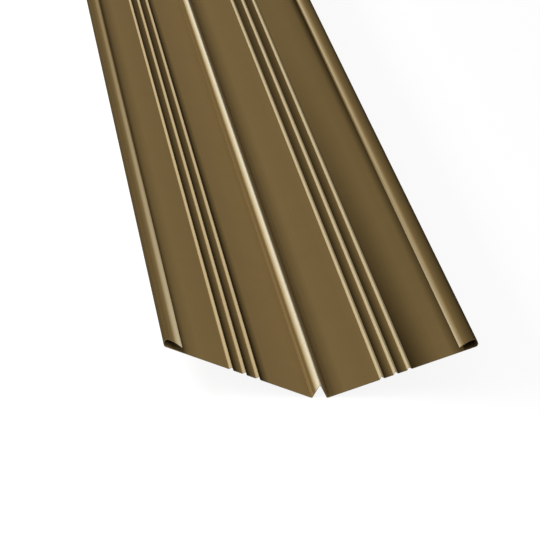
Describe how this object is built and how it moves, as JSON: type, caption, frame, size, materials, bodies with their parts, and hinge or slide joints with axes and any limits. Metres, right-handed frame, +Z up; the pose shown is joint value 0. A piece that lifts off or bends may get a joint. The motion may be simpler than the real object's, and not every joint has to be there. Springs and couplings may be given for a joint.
{
  "type": "w-valley flashing",
  "caption": "Long roof valley flashing in brown painted steel: a wide V with an upturned ridge along its centre, stiffening ribs on both wings and open hemmed edges.",
  "frame": {"origin": "on the floor under the centre line, at mid-length", "axes": "+X across the valley, +Y along it towards the end that is out of the picture, +Z up"},
  "size_m": [0.468, 3.048, 0.0914],
  "materials": {
    "painted_steel": "brown satin coil coating on both faces"
  },
  "bodies": {
    "root": {"valley_sheet": "painted_steel"}
  },
  "joints": []
}
